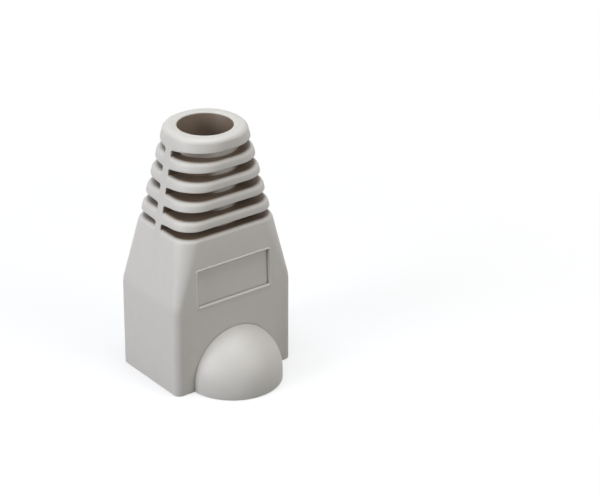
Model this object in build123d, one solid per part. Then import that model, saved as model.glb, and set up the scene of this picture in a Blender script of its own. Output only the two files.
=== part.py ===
from build123d import *
import math
import os

# A strain relief boot for a modular network plug, moulded in one piece of soft PVC.
# Sizes are in millimetres. The boot stands on its mouth. The origin is the middle of the plug
# cavity on that plane, +Z runs up the cable's axis and -Y is the side of the latch dome.

# Straight cavity that the plug's body slides into
cavity_width = 11.9
cavity_depth = 7.0
cavity_length = 9.4
cavity_corner = 0.3

# Walls round the cavity, and the mouth's rim
side_wall = 1.0
latch_wall = 1.1
back_wall = 1.6
mouth_corner = 0.7
rim_chamfer = 0.12

# Roof that closes the tapered throat over the cavity, with a conical lead into the cable bore
roof_wall = 1.0
throat_corner = 0.8
lead_height = 0.6

# Bore for the cable, the thin tube round it and the wall of the ring at its end
bore_diameter = 5.5
bore_chamfer = 0.15
tube_wall = 0.55
ring_wall = 1.25
ring_height = 1.29
ring_round = 0.45
ring_flat = 0.34

# Shoulder of the housing and the ribs above it: soft above, and with a crisper edge below.
# The rounded edges are lofted in a few steps.
shoulder_height = 16.35
rib_count = 4
rib_height = 1.14
rib_round = 0.45
rib_steps = 4
under_round = 0.1
under_steps = 2
slot_height = 0.75

# How far each spine between the ribs reaches from the cable's axis to the front and to the back
spine_front = 0.38
spine_back = 0.58

# Latch dome over the mouth's front edge: half a ball on a straight foot, with an even wall
dome_radius = 4.9
dome_wall = 0.5
dome_foot = 0.95
dome_setback = 0.3

# Bare recess for a marker on the latch face, which starts a little below the taper's knee
label_width = 8.6
label_height = 3.85
label_drop = 0.25
label_recess = 0.3

# Overrun of a cut past the face that it leaves, and tolerance of a search for edges
overrun = 1.0
tolerance = 0.01

# Sizes that follow from the ones above
mouth_width = cavity_width + 2 * side_wall
cavity_front = -cavity_depth / 2
cavity_back = cavity_depth / 2
front = cavity_front - latch_wall
back = cavity_back + back_wall
bore_radius = bore_diameter / 2
tube_radius = bore_radius + tube_wall
ring_radius = bore_radius + ring_wall
rib_pitch = rib_height + slot_height
ring_bottom = shoulder_height + rib_count * rib_pitch + slot_height
total_height = ring_bottom + ring_height
roof_height = shoulder_height - roof_wall

# A block placed on the cable's axis from its bottom up
UPRIGHT = (Align.CENTER, Align.CENTER, Align.MIN)


def taper(knee_size, top_size, z):
    """Size at height z of a straight taper from the knee over the cavity to the tail's top."""
    return knee_size + (top_size - knee_size) * (z - cavity_length) / (total_height - cavity_length)


def half_width(z):
    """Half the width of the tapered outside at height z."""
    return taper(mouth_width / 2, ring_radius, z)


def front_face(z):
    """Y of the tapered latch face at height z."""
    return taper(front, -ring_radius, z)


def back_face(z):
    """Y of the tapered back at height z."""
    return taper(back, ring_radius, z)


def level_face(width, y_low, y_high, corner, z):
    """Level rounded rectangle at height z, centred in X, between two Y values."""
    return Pos(0, (y_low + y_high) / 2, z) * RectangleRounded(width, y_high - y_low, corner)


def outer_face(z, inset=0):
    """Outline of the tapered outside at height z, set in evenly by an inset.

    Its corners grow until the tail's top is nearly round.
    """
    corner = taper(mouth_corner, ring_radius - ring_flat / 2, z)
    width = 2 * (half_width(z) - inset)
    return level_face(width, front_face(z) + inset, back_face(z) - inset, corner - inset, z)


def quarter_round(radius, steps):
    """Depth and inset of each step of a rounded edge, from the level face to the side."""
    angles = [math.pi / 2 * step / steps for step in range(steps + 1)]
    return [(radius - radius * math.cos(angle), radius - radius * math.sin(angle)) for angle in angles]


def lower_edge(bottom):
    """Outlines of a slightly rounded lower edge, from the bottom up."""
    return [outer_face(bottom + depth, inset) for depth, inset in quarter_round(under_round, under_steps)]


def upper_edge(top, radius):
    """Outlines of a rounded upper edge, up to the top."""
    steps = reversed(quarter_round(radius, rib_steps))
    return [outer_face(top - depth, inset) for depth, inset in steps]


def level_edges(solid, z):
    """Edges of a solid that lie in the level plane at height z."""
    return solid.edges().filter_by_position(Axis.Z, z - tolerance, z + tolerance)


def upright_cylinder(radius, bottom, top):
    """Solid cylinder on the cable's axis between two heights."""
    return Pos(0, 0, bottom) * Cylinder(radius, top - bottom, align=UPRIGHT)


def housing():
    """Upright part round the plug and the taper above it, up to the rounded shoulder."""
    upright = extrude(level_face(mouth_width, front, back, mouth_corner, 0), cavity_length)
    return upright + loft([outer_face(cavity_length)] + upper_edge(shoulder_height, rib_round), ruled=True)


def rib(bottom):
    """One bellows rib, soft above and crisp below."""
    return loft(lower_edge(bottom) + upper_edge(bottom + rib_height, rib_round), ruled=True)


def top_ring():
    """Thick ring at the cable end, soft above and crisp below."""
    return loft(lower_edge(ring_bottom) + upper_edge(total_height, ring_round), ruled=True)


def spines():
    """Upright strips at both sides that join the ribs, flush with the tapered outside."""
    bottom = shoulder_height - rib_round
    top = ring_bottom + under_round
    width = spine_front + spine_back
    middle = (spine_back - spine_front) / 2
    strip = Pos(0, middle, bottom) * Box(mouth_width, width, top - bottom, align=UPRIGHT)
    return strip & loft([outer_face(bottom), outer_face(top)], ruled=True)


def tail():
    """Flexible tail: a thin tube that carries the ribs, the spines and the top ring."""
    body = upright_cylinder(tube_radius, roof_height, ring_bottom + under_round)
    body += spines() + top_ring()
    for index in range(rib_count):
        body += rib(shoulder_height + slot_height + index * rib_pitch)
    return body


def bulge(radius, bottom):
    """Half a ball on a straight foot that starts at the bottom, on the latch dome's own axis."""
    ball = Pos(0, 0, dome_foot) * Sphere(radius, arc_size1=0, align=UPRIGHT)
    foot = Pos(0, 0, bottom) * Cylinder(radius, dome_foot - bottom, align=UPRIGHT)
    return Pos(0, front + dome_setback, 0) * Rot(0, 0, 90) * (ball + foot)


def plug_cavity():
    """Straight cavity for the plug, open at the mouth. It takes the dome's back half away."""
    mouth = level_face(cavity_width, cavity_front, cavity_back, cavity_corner, -overrun)
    return extrude(mouth, cavity_length + overrun)


def throat():
    """Tapered room between the cavity and the roof, with the cavity's walls and rounded corners."""
    height = roof_height - cavity_length
    side_slant = half_width(cavity_length) - half_width(roof_height)
    front_slant = front_face(roof_height) - front
    back_slant = back - back_face(roof_height)
    block = Wedge(
        cavity_width,
        height,
        cavity_depth,
        side_slant,
        back_slant,
        cavity_width - side_slant,
        cavity_depth - front_slant,
    )
    block = Pos(0, 0, cavity_length + height / 2) * Rot(90, 0, 0) * block
    level = level_edges(block, cavity_length) + level_edges(block, roof_height)
    return fillet(block.edges() - level, throat_corner)


def cable_bore():
    """Conical lead in the roof, the round bore for the cable and its chamfered end."""
    lead = Cone(bore_radius + lead_height, bore_radius, lead_height, align=UPRIGHT)
    depth = bore_chamfer + overrun
    end = Cone(bore_radius, bore_radius + depth, depth, align=UPRIGHT)
    bore = upright_cylinder(bore_radius, roof_height, total_height)
    return bore + Pos(0, 0, roof_height) * lead + Pos(0, 0, total_height - bore_chamfer) * end


def label_pocket():
    """Shallow rectangular pocket, parallel to the tapered latch face."""
    lean = math.degrees(math.atan2(-ring_radius - front, total_height - cavity_length))
    middle = cavity_length - label_drop + label_height / 2
    on_face = (Align.CENTER, Align.MAX, Align.CENTER)
    block = Box(label_width, label_recess + overrun, label_height, align=on_face)
    return Pos(0, front_face(middle), middle) * Rot(-lean, 0, 0) * Pos(0, label_recess, 0) * block


def boot():
    """The whole boot as one solid."""
    body = housing() + tail() + bulge(dome_radius, 0)
    body -= plug_cavity() + throat() + cable_bore()
    body -= bulge(dome_radius - dome_wall, -overrun)
    body -= label_pocket()
    return chamfer(level_edges(body, 0), rim_chamfer)


os.makedirs("parts", exist_ok=True)
export_step(boot(), "parts/boot.step")
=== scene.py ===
import bmesh
import bpy
import math
from mathutils import Matrix, Vector

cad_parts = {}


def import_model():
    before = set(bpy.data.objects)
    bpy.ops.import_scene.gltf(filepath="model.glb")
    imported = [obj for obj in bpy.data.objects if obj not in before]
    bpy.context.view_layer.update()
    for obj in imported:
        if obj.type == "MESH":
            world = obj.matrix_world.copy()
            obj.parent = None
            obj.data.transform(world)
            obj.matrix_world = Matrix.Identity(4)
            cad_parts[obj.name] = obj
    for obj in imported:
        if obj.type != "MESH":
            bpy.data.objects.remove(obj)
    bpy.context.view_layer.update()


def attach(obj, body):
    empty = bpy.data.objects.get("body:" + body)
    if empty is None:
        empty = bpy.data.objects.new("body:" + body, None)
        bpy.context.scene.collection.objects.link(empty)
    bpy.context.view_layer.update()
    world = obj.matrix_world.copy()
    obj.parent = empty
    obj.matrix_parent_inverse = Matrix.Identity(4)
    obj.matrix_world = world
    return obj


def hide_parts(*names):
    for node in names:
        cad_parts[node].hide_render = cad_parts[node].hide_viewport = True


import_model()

MM = 0.001

# Sizes of the boot in millimetres. It stands on its mouth, the origin is the middle of the plug
# cavity there, +Z runs up the cable's axis and -Y is the side of the latch dome.

# Cavity for the plug, the walls round it, and the soft knee where the taper starts
cavity_width = 11.9
cavity_depth = 7.0
cavity_corner = 0.3
knee_height = 9.4
knee_blend = 0.5
side_wall = 1.0
latch_wall = 1.1
back_wall = 1.6
mouth_corner = 0.7
rim_round = 0.12

# Shoulder of the housing, the throat's roof inside it with a conical lead, and the bore in its
# thin tube. The roof and the lead start with slightly slanted edges, and a support a little below
# the roof keeps the throat's walls straight.
shoulder_height = 16.35
roof_wall = 1.0
roof_slant = 0.06
roof_support = 0.2
throat_corner = 0.8
lead_height = 0.6
lead_margin = 0.1
lead_slant = 0.03
bore_radius = 2.75
bore_round = 0.15
tube_radius = 3.3

# Ribs and the slots between them. The ribs' upper edges have sunk by the lip's drop.
rib_count = 4
rib_height = 1.14
rib_round = 0.45
under_round = 0.1
slot_height = 0.75
slot_draft = 0.04
lip_drop = 0.16

# Spines that join the ribs at both sides. Beside them the edges over a slot droop like a web, by
# a little more for each slot up the tail, and over the web's reach.
spine_front = 0.38
spine_back = 0.58
spine_round = 0.2
web_drop = 0.2
web_gain = 0.03
web_reach = 3.8

# Thick ring at the cable end
ring_radius = 4.0
ring_height = 1.29
ring_round = 0.45
ring_flat = 0.34

# Latch dome: half a ball on a straight foot
dome_radius = 4.9
dome_wall = 0.5
dome_foot = 0.95
dome_setback = 0.3

# Bare marker recess on the latch face, and the fine raised bead round it
label_width = 8.6
label_height = 3.85
label_corner = 0.12
label_drop = 0.25
label_recess = 0.3
label_bead = 0.085
bead_root = 0.15

# Depths that the painted shade in the slots, the bore and the recess reads. The first two are
# factors: a slot counts as deeper beside a spine, and as shallower on the boot's back, so that less
# shade is painted there. The others are millimetres, for the bore and for the foot of the recess's
# walls: its two depths, its height and width, and how far its depth runs out.
spine_shade = 6.0
back_shade = 0.4
bore_shade_depth = 1.5
foot_side_shade_depth = 1.2
foot_level_shade_depth = 0.38
foot_height = 0.1
foot_width = 0.15
foot_fade = 0.3

# How finely outlines and rounded edges are divided. The first degrees of a corner next to the
# side are divided more closely, because the spines end there near the ring.
side_columns = 30
close_angle = 12
close_columns = 16
corner_columns = 24
face_columns = 4
rim_steps = 3
knee_steps = 4
lip_steps = 6
ring_steps = 9
dome_columns = 128
dome_steps = 32

# Where the two facets of a fine edge meet, as a share of its size, and the least corner radius
facet = 0.3
least_corner = 0.02

# How far a cut runs past the face that it leaves, distances under which points are welded, the
# tolerance of a search for points, and the angle in degrees past which an edge stays crisp
overrun = 1.0
weld = 0.002
speck = 0.0005
tolerance = 0.01
crisp_angle = 35

# Sizes that follow from the ones above
cavity_front = -cavity_depth / 2
cavity_back = cavity_depth / 2
mouth_half = cavity_width / 2 + side_wall
front = cavity_front - latch_wall
back = cavity_back + back_wall
roof_height = shoulder_height - roof_wall
ring_bottom = shoulder_height + rib_count * (rib_height + slot_height) + slot_height
total_height = ring_bottom + ring_height
top_corner = ring_radius - ring_flat / 2


# The columns of a level outline. Each has a corner's centre that it keeps to and a direction
# outwards, and both stay the same from the mouth to the ring.

def corner_turns():
    """Angles of one rounded corner from the side to the face, closer near the side."""
    close = [close_angle * step / close_columns for step in range(close_columns + 1)]
    wide = 90 - close_angle
    rest = [close_angle + wide * step / corner_columns for step in range(1, corner_columns + 1)]
    return [math.radians(angle) for angle in close + rest]


def quarter_columns():
    """Core and outward direction of each column, from a side's middle to a face's middle."""
    along_side = [((1, step / side_columns), (1, 0)) for step in range(side_columns)]
    round_corner = [((1, 1), (math.cos(angle), math.sin(angle))) for angle in corner_turns()]
    along_face = [((1 - step / face_columns, 1), (0, 1)) for step in range(1, face_columns + 1)]
    return along_side + round_corner + along_face


def outline_columns():
    """All the columns, counterclockwise from the middle of the +X side."""
    first = quarter_columns()
    second = [((-cx, cy), (-nx, ny)) for (cx, cy), (nx, ny) in reversed(first[:-1])]
    half = first + second
    rest = [((cx, -cy), (nx, -ny)) for (cx, cy), (nx, ny) in reversed(half[1:-1])]
    return half + rest


columns = outline_columns()


def outline(half, low, high, corner, z):
    """Points of a level rounded rectangle, one for each column."""
    middle = (low + high) / 2
    core_x = half - corner
    core_y = (high - low) / 2 - corner
    return [
        (cx * core_x + nx * corner, middle + cy * core_y + ny * corner, z)
        for (cx, cy), (nx, ny) in columns
    ]


def circle(radius, z):
    """Level circle on the cable's axis, one point for each column."""
    return outline(radius, -radius, radius, radius, z)


def taper_share(z):
    """How far up the taper height z is, from 0 at the knee to 1 at the top.

    The knee is blended by a parabola that meets both straight parts.
    """
    run = total_height - knee_height
    start = knee_height - knee_blend
    if z <= start:
        return 0
    if z < knee_height + knee_blend:
        return (z - start) ** 2 / (4 * knee_blend * run)
    return (z - knee_height) / run


def outside(z, inset=0):
    """Outline of the boot at height z, set in evenly."""
    share = taper_share(z)
    half = mouth_half + (ring_radius - mouth_half) * share
    low = front + (-ring_radius - front) * share
    high = back + (ring_radius - back) * share
    corner = mouth_corner + (top_corner - mouth_corner) * share
    return outline(half - inset, low + inset, high - inset, corner - inset, z)


def rounding(radius, steps):
    """Depth and inset of each step of a rounded edge, from the level face to the side."""
    angles = [math.pi / 2 * step / steps for step in range(steps + 1)]
    return [
        (radius - radius * math.cos(angle), radius - radius * math.sin(angle)) for angle in angles
    ]


def skin(mesh, rings):
    """Adds a skin of quads over rings of points, each from the one below."""
    rows = [[mesh.verts.new(Vector(point) * MM) for point in ring] for ring in rings]
    count = len(rings[0])
    for low, high in zip(rows, rows[1:]):
        for index in range(count):
            after = (index + 1) % count
            mesh.faces.new((low[index], low[after], high[after], high[index]))
    return rows


def as_object(name, mesh):
    """Puts a bmesh into a new object of the scene."""
    data = bpy.data.meshes.new(name)
    mesh.to_mesh(data)
    mesh.free()
    thing = bpy.data.objects.new(name, data)
    bpy.context.scene.collection.objects.link(thing)
    return thing


def closed_form(name, rings):
    """Closed solid over rings of points, from the lowest up."""
    mesh = bmesh.new()
    rows = skin(mesh, rings)
    mesh.faces.new(reversed(rows[0]))
    mesh.faces.new(rows[-1])
    return as_object(name, mesh)


def housing_rings():
    """Rings from the rounded rim over the knee to the start of the shoulder's rounded edge."""
    rim = [outside(depth, inset) for depth, inset in rounding(rim_round, rim_steps)]
    knee = [
        outside(knee_height + knee_blend * step / knee_steps)
        for step in range(-knee_steps, knee_steps + 1)
    ]
    return rim + knee + [outside(shoulder_height - rib_round)]


def ring_top_rings():
    """Rings of the top ring, from its lower rounded edge to its flat top."""
    edge = reversed(rounding(ring_round, ring_steps))
    rounded = [outside(total_height - depth, inset) for depth, inset in edge]
    return [outside(ring_bottom + under_round)] + rounded


# Expressions that are written as sums and become math nodes of the tree

class Field:
    """A value in a node tree that can be added, multiplied and compared."""

    def __init__(self, tree, socket):
        self.tree = tree
        self.socket = socket

    def math(self, operation, *others):
        """Value of a math node on this one and the others."""
        node = self.tree.nodes.new("ShaderNodeMath")
        node.operation = operation
        for place, value in enumerate((self, *others)):
            if isinstance(value, Field):
                self.tree.links.new(value.socket, node.inputs[place])
            else:
                node.inputs[place].default_value = value
        return Field(self.tree, node.outputs[0])

    def __add__(self, other):
        return self.math("ADD", other)

    def __sub__(self, other):
        return self.math("SUBTRACT", other)

    def __mul__(self, other):
        return self.math("MULTIPLY", other)

    def __truediv__(self, other):
        return self.math("DIVIDE", other)

    def clamped(self):
        """Value kept between 0 and 1."""
        return self.math("MAXIMUM", 0.0).math("MINIMUM", 1.0)

    def eased(self):
        """Value between 0 and 1 that leaves 0 and reaches 1 softly."""
        return self * self * (self * -2 + 3)

    def toward(self, other, share):
        """Value between this one and another."""
        return self + (other - self) * share


def tree_with_inputs(name, sizes):
    """Geometry tree with named inputs: the tree, its input node and a field for each size."""
    tree = bpy.data.node_groups.new(name, "GeometryNodeTree")
    face = tree.interface
    face.new_socket("Geometry", in_out="INPUT", socket_type="NodeSocketGeometry")
    face.new_socket("Geometry", in_out="OUTPUT", socket_type="NodeSocketGeometry")
    for label, value in sizes.items():
        kind = "NodeSocketInt" if isinstance(value, int) else "NodeSocketFloat"
        face.new_socket(label, in_out="INPUT", socket_type=kind)
    source = tree.nodes.new("NodeGroupInput")
    return tree, source, {label: Field(tree, source.outputs[label]) for label in sizes}


def column_vector(tree, source, column, attribute):
    """X and Y of an attribute of a column's point in the shoulder's ring."""
    named = tree.nodes.new("GeometryNodeInputNamedAttribute")
    named.data_type = "FLOAT_VECTOR"
    named.inputs["Name"].default_value = attribute
    sample = tree.nodes.new("GeometryNodeSampleIndex")
    sample.data_type = "FLOAT_VECTOR"
    tree.links.new(source.outputs["Geometry"], sample.inputs["Geometry"])
    tree.links.new(named.outputs["Attribute"], sample.inputs["Value"])
    tree.links.new(column.socket, sample.inputs["Index"])
    parts = tree.nodes.new("ShaderNodeSeparateXYZ")
    tree.links.new(sample.outputs["Value"], parts.inputs[0])
    return Field(tree, parts.outputs["X"]), Field(tree, parts.outputs["Y"])


def end_of_tree(tree, source, grid, place, depth, material):
    """Moves the grid's points into place, stores their depth and joins them to the other skins."""
    point = tree.nodes.new("ShaderNodeCombineXYZ")
    for axis, value in zip("XYZ", place):
        tree.links.new(value.socket, point.inputs[axis])
    moved = tree.nodes.new("GeometryNodeSetPosition")
    tree.links.new(grid.outputs["Mesh"], moved.inputs["Geometry"])
    tree.links.new(point.outputs[0], moved.inputs["Position"])
    shade = tree.nodes.new("GeometryNodeStoreNamedAttribute")
    shade.inputs["Name"].default_value = "depth"
    tree.links.new(moved.outputs["Geometry"], shade.inputs["Geometry"])
    tree.links.new(depth.socket, shade.inputs["Value"])
    join = tree.nodes.new("GeometryNodeJoinGeometry")
    tree.links.new(shade.outputs["Geometry"], join.inputs[0])
    tree.links.new(source.outputs["Geometry"], join.inputs[0])
    merge = tree.nodes.new("GeometryNodeMergeByDistance")
    merge.inputs["Distance"].default_value = weld * MM
    realize = tree.nodes.new("GeometryNodeRealizeInstances")
    finish = tree.nodes.new("GeometryNodeSetMaterial")
    finish.inputs["Material"].default_value = material
    result = tree.nodes.new("NodeGroupOutput")
    chain = (join, merge, realize, finish, result)
    for here, there in zip(chain, chain[1:]):
        tree.links.new(here.outputs[0], there.inputs[0])


def rib_tree(sizes, material):
    """Tree that grows the ribbed tail's skin between the shoulder and the top ring.

    Its geometry holds the skins below and above. The first points are the shoulder's ring, and
    each carries its column's core and outward direction.
    """
    tree, source, size = tree_with_inputs("ribbed tail", sizes)

    # A slot has two rounded edges, each with its steps and one more row in on the tube
    lip = size["Lip steps"]
    per_slot = lip * 2 + 4
    rows = per_slot * (size["Ribs"] + 1)
    around = size["Columns"]
    grid = tree.nodes.new("GeometryNodeMeshGrid")
    tree.links.new((around + 1).socket, grid.inputs["Vertices X"])
    tree.links.new(rows.socket, grid.inputs["Vertices Y"])

    # Column and row of a point. The last column is the first one again.
    index = Field(tree, tree.nodes.new("GeometryNodeInputIndex").outputs[0])
    column = (index / rows).math("FLOOR")
    row = index - column * rows
    column = column - around * column.math("COMPARE", around, 0.5)
    core_x, core_y = column_vector(tree, source, column, "core")
    out_x, out_y = column_vector(tree, source, column, "outward")

    # Where the row lies on its edge, from 0 on the outside, and whether it is the upper edge
    slot = (row / per_slot).math("FLOOR")
    step = row - slot * per_slot
    from_end = per_slot - 1 - step
    near = step.math("MINIMUM", from_end)
    angle = (near / lip).clamped() * (math.pi / 2)
    deep = (near - lip).clamped()
    upper = step.math("GREATER_THAN", from_end)

    radius = size["Rib rounding"].toward(size["Under rounding"], upper)
    inset = radius - radius * angle.math("COSINE")
    rise = radius * angle.math("SINE") - radius + size["Slot draft"] * deep
    slot_bottom = size["Shoulder height"] + slot * (size["Rib height"] + size["Slot height"])

    def taper_at(height):
        """Half width, corner, middle and half core depth of the taper, and the column's Y."""
        run = size["Top height"] - size["Knee height"]
        share = (height - size["Knee height"]) / run
        half = size["Knee half width"].toward(size["Ring radius"], share)
        low = size["Knee front"].toward(size["Ring radius"] * -1, share)
        high = size["Knee back"].toward(size["Ring radius"], share)
        corner = size["Knee corner"].toward(size["Ring corner"], share)
        middle = (low + high) / 2
        core_half = (high - low) / 2 - corner
        return half, corner, middle, core_half, middle + core_y * core_half + out_y * corner

    def off_spine(y):
        """How far a Y lies off the spine, below 0 on it."""
        return (size["Spine front"] * -1 - y).math("MAXIMUM", y - size["Spine back"])

    # Height of the row, with the sunk edge below a slot and the drooping edge above it
    slot_y = taper_at(slot_bottom)[-1]
    near_spine = (off_spine(slot_y) / size["Web reach"]).clamped() * -1 + 1
    web = size["Web drop"] + slot * size["Web gain"]
    web = web * near_spine * near_spine * angle.math("SINE")
    low_edge = rise - size["Lip drop"] * slot.clamped()
    high_edge = size["Slot height"] - rise - web
    height = slot_bottom + low_edge.toward(high_edge, upper)

    # Place of the point: on the edge, in on the tube, or flush with the outside on a spine
    half, corner, middle, core_half, plain_y = taper_at(height)
    open_share = (off_spine(plain_y) / size["Spine rounding"]).clamped().eased()
    inset = inset * open_share
    deep = deep * open_share
    lip_x = core_x * (half - corner) + out_x * (corner - inset)
    lip_y = middle + core_y * core_half + out_y * (corner - inset)
    reach = (lip_x * lip_x + lip_y * lip_y).math("SQRT")
    tube = size["Tube radius"] / reach
    x = lip_x.toward(lip_x * tube, deep)
    y = lip_y.toward(lip_y * tube, deep)

    # Depth that the painted shade reads, raised beside a spine and lowered on the boot's back
    way_in = (reach - size["Tube radius"]) * deep.math("SQRT")
    way_in = way_in * (open_share * (size["Spine shade"] * -1 + 1) + size["Spine shade"])
    behind = (plain_y - size["Spine back"]).math("GREATER_THAN", 0.0)
    depth = (inset + way_in) * (behind * (size["Back shade"] - 1) + 1)

    end_of_tree(tree, source, grid, (x, y, height), depth, material)
    return tree


def tail_sizes():
    """Named inputs of the tail's tree. Its lengths are in metres."""
    return {
        "Ribs": rib_count,
        "Lip steps": lip_steps,
        "Columns": len(columns),
        "Shoulder height": shoulder_height * MM,
        "Rib height": rib_height * MM,
        "Slot height": slot_height * MM,
        "Rib rounding": rib_round * MM,
        "Under rounding": under_round * MM,
        "Slot draft": slot_draft * MM,
        "Lip drop": lip_drop * MM,
        "Tube radius": tube_radius * MM,
        "Spine front": spine_front * MM,
        "Spine back": spine_back * MM,
        "Spine rounding": spine_round * MM,
        "Web drop": web_drop * MM,
        "Web gain": web_gain * MM,
        "Web reach": web_reach * MM,
        "Spine shade": spine_shade,
        "Back shade": back_shade,
        "Knee height": knee_height * MM,
        "Knee half width": mouth_half * MM,
        "Knee front": front * MM,
        "Knee back": back * MM,
        "Knee corner": mouth_corner * MM,
        "Top height": total_height * MM,
        "Ring radius": ring_radius * MM,
        "Ring corner": top_corner * MM,
    }


def made_plain(thing):
    """Turns an object's finished modifiers into its own plain mesh."""
    graph = bpy.context.evaluated_depsgraph_get()
    mesh = bpy.data.meshes.new_from_object(thing.evaluated_get(graph))
    thing.modifiers.clear()
    thing.data = mesh
    return thing


def outer_form(material):
    """Closed outside of the boot, without its dome: housing, ribbed tail and ring."""
    mesh = bmesh.new()
    rings = housing_rings()
    skin(mesh, rings[-1:])
    housing = skin(mesh, rings)
    top = skin(mesh, ring_top_rings())
    mesh.faces.new(reversed(housing[0]))
    mesh.faces.new(top[-1])
    thing = as_object("outer form", mesh)
    core = thing.data.attributes.new("core", "FLOAT_VECTOR", "POINT")
    outward = thing.data.attributes.new("outward", "FLOAT_VECTOR", "POINT")
    for index, ((cx, cy), (nx, ny)) in enumerate(columns):
        core.data[index].vector = (cx, cy, 0)
        outward.data[index].vector = (nx, ny, 0)

    sizes = tail_sizes()
    tree = rib_tree(sizes, material)
    ribs = thing.modifiers.new("ribs", "NODES")
    ribs.node_group = tree
    inputs = [item for item in tree.interface.items_tree if item.in_out == "INPUT"]
    identifiers = {item.name: item.identifier for item in inputs}
    for name, value in sizes.items():
        ribs[identifiers[name]] = value
    return made_plain(thing)


def combined(thing, other, operation):
    """Adds another solid to this one, or cuts it away, and removes the other."""
    change = thing.modifiers.new(operation, "BOOLEAN")
    change.operation = operation
    change.object = other
    change.solver = "EXACT"
    made_plain(thing)
    bpy.data.objects.remove(other)


def dome_form(name, radius, edge, bottom):
    """Half a ball on a straight foot, whose lowest edge is set in or flared out by an edge."""
    turns = [2 * math.pi * index / dome_columns for index in range(dome_columns)]
    rise = [math.pi / 2 * step / dome_steps for step in range(dome_steps)]
    levels = [(radius + edge, bottom)] if bottom < 0 else []
    levels += [(radius + edge, 0), (radius + edge * facet, abs(edge) * facet)]
    levels += [(radius, abs(edge))]
    levels += [(radius * math.cos(angle), dome_foot + radius * math.sin(angle)) for angle in rise]
    middle = front + dome_setback
    rings = [[(r * math.cos(t), middle + r * math.sin(t), z) for t in turns] for r, z in levels]
    mesh = bmesh.new()
    rows = skin(mesh, rings)
    mesh.faces.new(reversed(rows[0]))
    tip = mesh.verts.new(Vector((0, middle, dome_foot + radius)) * MM)
    for index in range(dome_columns):
        mesh.faces.new((rows[-1][index], rows[-1][(index + 1) % dome_columns], tip))
    return as_object(name, mesh)


def room_for_plug(grow, z):
    """Outline of the plug's cavity at height z, grown at the mouth's edge."""
    half = cavity_width / 2 + grow
    return outline(half, cavity_front - grow, cavity_back + grow, cavity_corner + grow, z)


def throat(z, corner):
    """Outline of the tapered room at height z, with the walls of the cavity."""
    share = taper_share(z)
    half = cavity_width / 2 + (ring_radius - mouth_half) * share
    low = cavity_front + (-ring_radius - front) * share
    high = cavity_back + (ring_radius - back) * share
    return outline(half, low, high, corner, z)


def inner_form():
    """Room for the plug, the throat above it and the cable bore, as one closed solid."""
    rings = [
        room_for_plug(rim_round, -overrun),
        room_for_plug(rim_round, 0),
        room_for_plug(0, rim_round),
        throat(knee_height - knee_blend, cavity_corner),
        throat(knee_height, cavity_corner),
        throat(knee_height + knee_blend, throat_corner),
        throat(roof_height - roof_support, throat_corner),
        throat(roof_height - roof_slant, throat_corner),
        circle(bore_radius + lead_height + lead_margin, roof_height),
        circle(bore_radius + lead_height, roof_height + lead_slant),
        circle(bore_radius, roof_height + lead_height),
        circle(bore_radius, total_height - bore_round),
        circle(bore_radius + bore_round * facet, total_height - bore_round * facet),
        circle(bore_radius + bore_round, total_height),
        circle(bore_radius + bore_round, total_height + overrun),
    ]
    return closed_form("inner form", rings)


def label_frame():
    """Middle of the marker recess on the latch face, and the directions up it and out of it."""
    slope = (-ring_radius - front) / (total_height - knee_height)
    middle = knee_height - label_drop + label_height / 2
    origin = Vector((0, front + slope * (middle - knee_height), middle))
    return origin, Vector((0, slope, 1)).normalized(), Vector((0, -1, slope)).normalized()


def label_form(name, levels):
    """Rectangle parallel to the latch face, as a solid over levels of a height and a growth."""
    origin, up, out = label_frame()
    rings = []
    for height, grow in levels:
        half, tall = label_width / 2 + grow, label_height / 2 + grow
        flat = outline(half, -tall, tall, max(label_corner + grow, least_corner), 0)
        rings.append([origin + Vector((1, 0, 0)) * x + up * y + out * height for x, y, _ in flat])
    return closed_form(name, rings)


def label_bead_form():
    """Low pad that the recess is cut into, so that its rim stays as the fine raised bead."""
    # Share of the bead's height and growth past the recess, from its foot to its flat top
    profile = [(0, 0.2), (0.5, 0.16), (0.85, 0.12), (1, 0.08)]
    bead = [(label_bead * share, grow) for share, grow in profile]
    return label_form("label bead", [(-bead_root, profile[0][1])] + bead)


def label_cut_form():
    """The recess itself: its floor, its walls, and a flare along the bead's inner side."""
    # Heights over the latch face and growths past the recess
    bottom = -label_recess
    floor_edge = [(bottom, -foot_fade), (bottom, -0.1)]
    wall = [(bottom + 0.015, -0.065), (bottom + 0.05, -0.05), (-0.12, -0.05)]
    flare = [(-0.04, -0.038), (0.03, -0.01), (0.068, 0.025)]
    way_out = [(label_bead + 0.001, 0.065), (overrun, 0.07)]
    return label_form("label recess", floor_edge + wall + flare + way_out)


def shaded_depth(point):
    """Depth that the painted shade reads in the bore and at the foot of the recess's walls, else 0.
    """
    top = total_height - bore_round + tolerance
    on_bore = math.hypot(point.x, point.y) < bore_radius + tolerance
    if on_bore and roof_height < point.z < top:
        return bore_shade_depth
    origin, up, out = label_frame()
    place = point - origin
    above_floor = place.dot(out) + label_recess
    past_side = abs(place.x) - label_width / 2
    past_level = abs(place.dot(up)) - label_height / 2
    at_wall = -foot_width < max(past_side, past_level) < 0
    if not at_wall or not -tolerance < above_floor < foot_height:
        return 0
    return foot_side_shade_depth if past_side > past_level else foot_level_shade_depth


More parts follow.
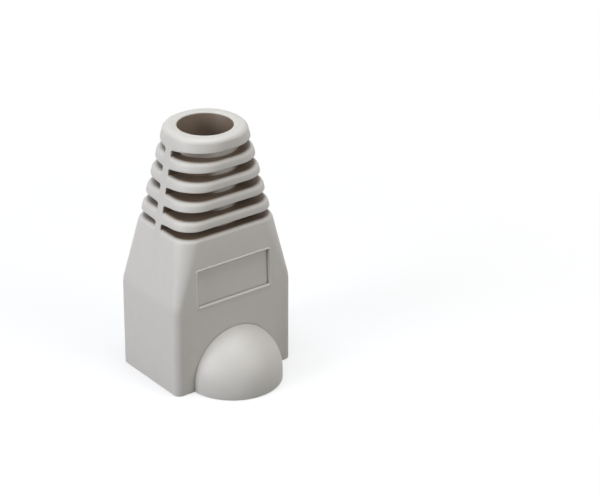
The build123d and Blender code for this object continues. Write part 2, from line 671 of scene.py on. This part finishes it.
def boot_mesh(material):
    """The whole boot as one closed moulding."""
    boot = outer_form(material)
    combined(boot, dome_form("dome", dome_radius, -rim_round, 0), "UNION")
    combined(boot, inner_form(), "DIFFERENCE")
    hollow = dome_form("dome hollow", dome_radius - dome_wall, rim_round, -overrun)
    combined(boot, hollow, "DIFFERENCE")
    combined(boot, label_bead_form(), "UNION")
    combined(boot, label_cut_form(), "DIFFERENCE")

    mesh = bmesh.new()
    mesh.from_mesh(boot.data)
    bmesh.ops.remove_doubles(mesh, verts=mesh.verts, dist=speck * MM)
    bmesh.ops.dissolve_degenerate(mesh, edges=mesh.edges, dist=speck * MM)
    for face in mesh.faces:
        face.material_index = 0
    # Depths for the painted shade in the bore and at the foot of the recess
    depth = mesh.verts.layers.float["depth"]
    for vertex in mesh.verts:
        own_depth = shaded_depth(vertex.co / MM)
        if own_depth:
            vertex[depth] = own_depth * MM
    mesh.to_mesh(boot.data)
    mesh.free()

    boot.data.materials.clear()
    boot.data.materials.append(material)
    boot.data.name = "boot_moulding"
    boot.name = "boot_moulding"
    boot.data.shade_smooth()
    boot.data.set_sharp_from_angle(angle=math.radians(crisp_angle))
    return boot


# Plastic: its faintly clouded grey, and the dark brown of the shade painted into it where it lies
# deep. On a level ledge the painted shade starts at a smaller depth than on an upright wall. Depths
# are in millimetres.
grey_dark = (0.567, 0.545, 0.51, 1)
grey_light = (0.579, 0.557, 0.521, 1)
painted_shade_brown = (0.16, 0.112, 0.077, 1)
wall_depths = (0.85, 1.45)
ledge_depths = (0.04, 0.4)
painted_shade_most = 0.96

# Painted shade in narrow creases: how far round a point the plastic is looked for in millimetres,
# the shares of open sky at which the painted shade starts and is darkest, and how dark it is there
crease_reach = 0.4
crease_sky = (0.78, 0.42)
crease_shade_darkness = 0.6

# Clouding, gloss and the mould's grain. The scales are per metre, and the grain's height is in
# millimetres. A noise texture's values lie mostly in its middle range.
noise_range = (0.3, 0.7)
cloud_scale = 1400
gloss_scale = 900
gloss_range = (0.44, 0.56)
grain_scale = 6000
grain_height = 0.012
grain_strength = 0.25

# Table: its tone as it lights the boot and as it is seen, and the white that it is mixed with
# where it is seen, from a share of it near the boot to all of it further away, in millimetres
table_lit = 0.34
table_seen = 0.95
fade_distances = (12, 60)
fade_shares = (0.55, 1.0)

# Colour sockets of a mix node, which have the same names as its number sockets
mix_first = 6
mix_second = 7
mix_result = 2


def new_material(name):
    """Empty node material: its nodes, its links and its output."""
    material = bpy.data.materials.new(name)
    material.use_nodes = True
    nodes = material.node_tree.nodes
    nodes.clear()
    return material, nodes, material.node_tree.links, nodes.new("ShaderNodeOutputMaterial")


def noise(nodes, links, scale, detail=3):
    """Noise texture on the object's own coordinates."""
    texture = nodes.new("ShaderNodeTexNoise")
    texture.inputs["Scale"].default_value = scale
    texture.inputs["Detail"].default_value = detail
    place = nodes.new("ShaderNodeTexCoord").outputs["Object"]
    links.new(place, texture.inputs["Vector"])
    return texture.outputs["Fac"]


def mapped(nodes, links, value, source, target, curve="LINEAR"):
    """Value brought from one range to another."""
    node = nodes.new("ShaderNodeMapRange")
    node.interpolation_type = curve
    node.inputs["From Min"].default_value, node.inputs["From Max"].default_value = source
    node.inputs["To Min"].default_value, node.inputs["To Max"].default_value = target
    links.new(value, node.inputs["Value"])
    return node.outputs["Result"]


def calculated(nodes, links, operation, *values):
    """Result of a math node on its values."""
    node = nodes.new("ShaderNodeMath")
    node.operation = operation
    for place, value in enumerate(values):
        links.new(value, node.inputs[place])
    return node.outputs["Value"]


def painted_hollow_shade(nodes, links):
    """Painted shade by depth: 0 on the outside, more on deep ledges and walls."""
    depth = nodes.new("ShaderNodeAttribute")
    depth.attribute_name = "depth"
    parts = nodes.new("ShaderNodeSeparateXYZ")
    links.new(nodes.new("ShaderNodeNewGeometry").outputs["Normal"], parts.inputs["Vector"])
    level = calculated(nodes, links, "ABSOLUTE", parts.outputs["Z"])
    blend = nodes.new("ShaderNodeMix")
    links.new(level, blend.inputs["Factor"])
    for place, (low, high) in zip("AB", (wall_depths, ledge_depths)):
        span = (low * MM, high * MM)
        painted_shade = mapped(nodes, links, depth.outputs["Fac"], span, (0, painted_shade_most), "SMOOTHSTEP")
        links.new(painted_shade, blend.inputs[place])
    return blend.outputs["Result"]


def painted_crease_shade(nodes, links):
    """Painted shade in the plastic's narrow creases, which see little of the open sky."""
    sky = nodes.new("ShaderNodeAmbientOcclusion")
    sky.samples = 8
    sky.only_local = True
    sky.inputs["Distance"].default_value = crease_reach * MM
    return mapped(nodes, links, sky.outputs["AO"], crease_sky, (0, crease_shade_darkness))


def soft_pvc():
    """Satin light grey PVC with faint clouding, the fine grain of a mould, and painted shade in its
    hollows and creases.
    """
    material, nodes, links, output = new_material("soft grey pvc")
    shader = nodes.new("ShaderNodeBsdfPrincipled")
    links.new(shader.outputs["BSDF"], output.inputs["Surface"])

    clouding = nodes.new("ShaderNodeValToRGB")
    stops = clouding.color_ramp.elements
    stops[0].position, stops[1].position = noise_range
    stops[0].color, stops[1].color = grey_dark, grey_light
    links.new(noise(nodes, links, cloud_scale, detail=5), clouding.inputs["Fac"])
    shade = nodes.new("ShaderNodeMix")
    shade.data_type = "RGBA"
    # Painted shade: dark brown mixed in by depth and in narrow creases
    painted_shade = calculated(nodes, links, "MAXIMUM", painted_hollow_shade(nodes, links), painted_crease_shade(nodes, links))
    links.new(painted_shade, shade.inputs["Factor"])
    links.new(clouding.outputs["Color"], shade.inputs[mix_first])
    shade.inputs[mix_second].default_value = painted_shade_brown
    links.new(shade.outputs[mix_result], shader.inputs["Base Color"])

    gloss = noise(nodes, links, gloss_scale)
    roughness = mapped(nodes, links, gloss, noise_range, gloss_range)
    links.new(roughness, shader.inputs["Roughness"])

    grain = nodes.new("ShaderNodeBump")
    grain.inputs["Strength"].default_value = grain_strength
    grain.inputs["Distance"].default_value = grain_height * MM
    links.new(noise(nodes, links, grain_scale), grain.inputs["Height"])
    links.new(grain.outputs["Normal"], shader.inputs["Normal"])
    shader.inputs["IOR"].default_value = 1.5
    return material


def seen_white(nodes, links):
    """1 for the rays that show the backdrop: the camera's, and those of gloss and clear plastic."""
    path = nodes.new("ShaderNodeLightPath")
    seen = path.outputs["Is Camera Ray"]
    for ray in ("Is Glossy Ray", "Is Transmission Ray"):
        seen = calculated(nodes, links, "MAXIMUM", seen, path.outputs[ray])
    return seen


def white_table():
    """Table top that keeps the boot's soft shadow and is seen as pure white away from it."""
    material, nodes, links, output = new_material("white table")
    seen = seen_white(nodes, links)
    paper = nodes.new("ShaderNodeBsdfDiffuse")
    tone = mapped(nodes, links, seen, (0, 1), (table_lit, table_seen))
    links.new(tone, paper.inputs["Color"])

    away = nodes.new("ShaderNodeVectorMath")
    away.operation = "LENGTH"
    links.new(nodes.new("ShaderNodeTexCoord").outputs["Object"], away.inputs[0])
    near, far = fade_distances
    span = (near * MM, far * MM)
    fade = mapped(nodes, links, away.outputs["Value"], span, fade_shares, "SMOOTHSTEP")
    white = calculated(nodes, links, "MULTIPLY", seen, fade)

    mix = nodes.new("ShaderNodeMixShader")
    links.new(white, mix.inputs["Fac"])
    links.new(paper.outputs["BSDF"], mix.inputs[1])
    links.new(nodes.new("ShaderNodeEmission").outputs["Emission"], mix.inputs[2])
    links.new(mix.outputs["Shader"], output.inputs["Surface"])
    return material


def table_top():
    """Wide table under the boot, three metres to each side."""
    half = 3.0
    mesh = bpy.data.meshes.new("table")
    corners = [(-half, -half, 0), (half, -half, 0), (half, half, 0), (-half, half, 0)]
    mesh.from_pydata(corners, [], [(0, 1, 2, 3)])
    table = bpy.data.objects.new("table", mesh)
    bpy.context.scene.collection.objects.link(table)
    mesh.materials.append(white_table())


# Soft lamps: name, place and size in millimetres, power in watts and colour. They are turned to
# a point in the middle of the boot's height.
lamps = (
    ("overhead softbox", (0, 5, 330), 260, 0.98, (0.97, 0.995, 1.03)),
    ("left softbox", (-300, 20, 110), 160, 0.67, (0.97, 0.995, 1.05)),
    ("front softbox", (75, -165, 118), 130, 0.153, (1.02, 1, 0.97)),
)
lamp_aim = (0, 0, 12)


def lamp(name, place, size, power, colour):
    """Square soft lamp that is turned to the boot."""
    light = bpy.data.lights.new(name, "AREA")
    light.size = size * MM
    light.energy = power
    light.color = colour
    thing = bpy.data.objects.new(name, light)
    bpy.context.scene.collection.objects.link(thing)
    place = Vector(place) * MM
    thing.location = place
    thing.rotation_euler = (Vector(lamp_aim) * MM - place).to_track_quat("-Z", "Y").to_euler()


def world():
    """White surroundings that only the camera, gloss and clear plastic see."""
    sky = bpy.data.worlds.new("studio")
    bpy.context.scene.world = sky
    sky.use_nodes = True
    nodes = sky.node_tree.nodes
    links = sky.node_tree.links
    backdrop = nodes["Background"]
    backdrop.inputs["Color"].default_value = (1, 1, 1, 1)
    links.new(seen_white(nodes, links), backdrop.inputs["Strength"])


def camera():
    """Camera at the photograph's place, looking down at the latch side."""
    distance = 226.912
    height = 125.191
    turn = math.radians(34.895)
    pan = math.radians(-2.318) - turn
    tilt = math.radians(90 - 26.452)
    roll = math.radians(0.202)

    # Focal length and width of the picture in pixels, and the sensor's width in millimetres
    focal_pixels = 2568.73
    picture_pixels = 600
    sensor = 36

    lens = bpy.data.cameras.new("camera")
    lens.sensor_width = sensor
    lens.lens = focal_pixels / picture_pixels * sensor
    lens.clip_start = 0.01
    lens.clip_end = 20
    view = bpy.data.objects.new("camera", lens)
    bpy.context.scene.collection.objects.link(view)
    place = Vector((-distance * math.sin(turn), -distance * math.cos(turn), height)) * MM
    aim = Matrix.Rotation(pan, 4, "Z") @ Matrix.Rotation(tilt, 4, "X")
    aim = aim @ Matrix.Rotation(roll, 4, "Z")
    view.matrix_world = Matrix.Translation(place) @ aim
    bpy.context.scene.camera = view


pvc = soft_pvc()
boot = boot_mesh(pvc)
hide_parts("boot")
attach(boot, "root")

table_top()
world()
for softbox in lamps:
    lamp(*softbox)
camera()
bpy.context.scene.view_settings.view_transform = "Standard"
